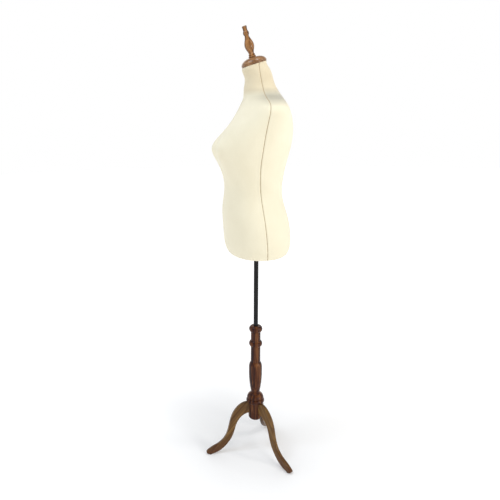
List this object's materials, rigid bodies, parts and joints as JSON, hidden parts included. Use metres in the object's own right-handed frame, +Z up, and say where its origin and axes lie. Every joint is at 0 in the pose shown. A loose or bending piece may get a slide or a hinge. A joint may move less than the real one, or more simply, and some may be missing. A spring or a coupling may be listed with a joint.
{
  "type": "dress form mannequin",
  "caption": "Female torso dress form in cream jersey with a wooden neck cap and turned finial, on a height-adjustable pole over a turned wooden tripod stand.",
  "frame": {"origin": "on the floor, under the centre of the column", "axes": "+Z up, along the pole; the form faces -Y, the way the front leg points"},
  "size_m": [0.3524, 0.3167, 1.6103],
  "materials": {
    "cover": "matte",
    "base_cloth": "matte",
    "shell": "matte",
    "board": "matte",
    "column": "gloss",
    "leg": "satin",
    "cap": "gloss",
    "finial": "gloss",
    "pole": "satin",
    "steel": "satin",
    "zinc": "satin",
    "black_plastic": "matte",
    "nylon": "satin",
    "brass": "satin"
  },
  "bodies": {
    "stand": {"column": "column", "leg_front": "leg", "leg_left": "leg", "leg_right": "leg", "leg_dowels": "board", "glide_front": "black_plastic", "glide_left": "black_plastic", "glide_right": "black_plastic", "pole": "pole", "pole_stud": "steel", "column_insert": "zinc", "pole_end_cap": "black_plastic"},
    "collar": {"height_collar": "steel", "swivel_washer": "nylon"},
    "form": {"shell_front_upper": "shell", "shell_front_lower": "shell", "shell_back_upper": "shell", "shell_back_lower": "shell", "cover_front": "cover", "cover_back": "cover", "base_board": "board", "base_cloth": "base_cloth", "neck_block": "board", "neck_cap": "cap", "finial": "finial", "finial_screw": "zinc", "socket_flange": "steel", "flange_screws": "zinc", "guide_bush_lower": "nylon", "guide_bush_upper": "nylon"},
    "pad": {"clamp_pad": "brass"},
    "screw": {"thumb_screw": "black_plastic"}
  },
  "joints": [
    {"name": "height_slide", "type": "slide", "parent": "stand", "child": "collar", "axis": [0, 0, 1], "range_m": [-0.23, 0.08]},
    {"name": "form_swivel", "type": "hinge", "parent": "collar", "child": "form", "pos_m": [0, 0, 0.824], "axis": [0, 0, 1], "continuous": true},
    {"name": "pad_slide", "type": "slide", "parent": "collar", "child": "pad", "axis": [0, 1, 0], "range_m": [0, 0.002]},
    {"name": "screw_turn", "type": "hinge", "parent": "pad", "child": "screw", "pos_m": [0, 0.02, 0.814], "axis": [0, 1, 0], "range_deg": [0, 721]}
  ],
  "couplings": [
    {"joint": "screw_turn", "follows": "pad_slide", "rad_per_m": 6283.2}
  ]
}
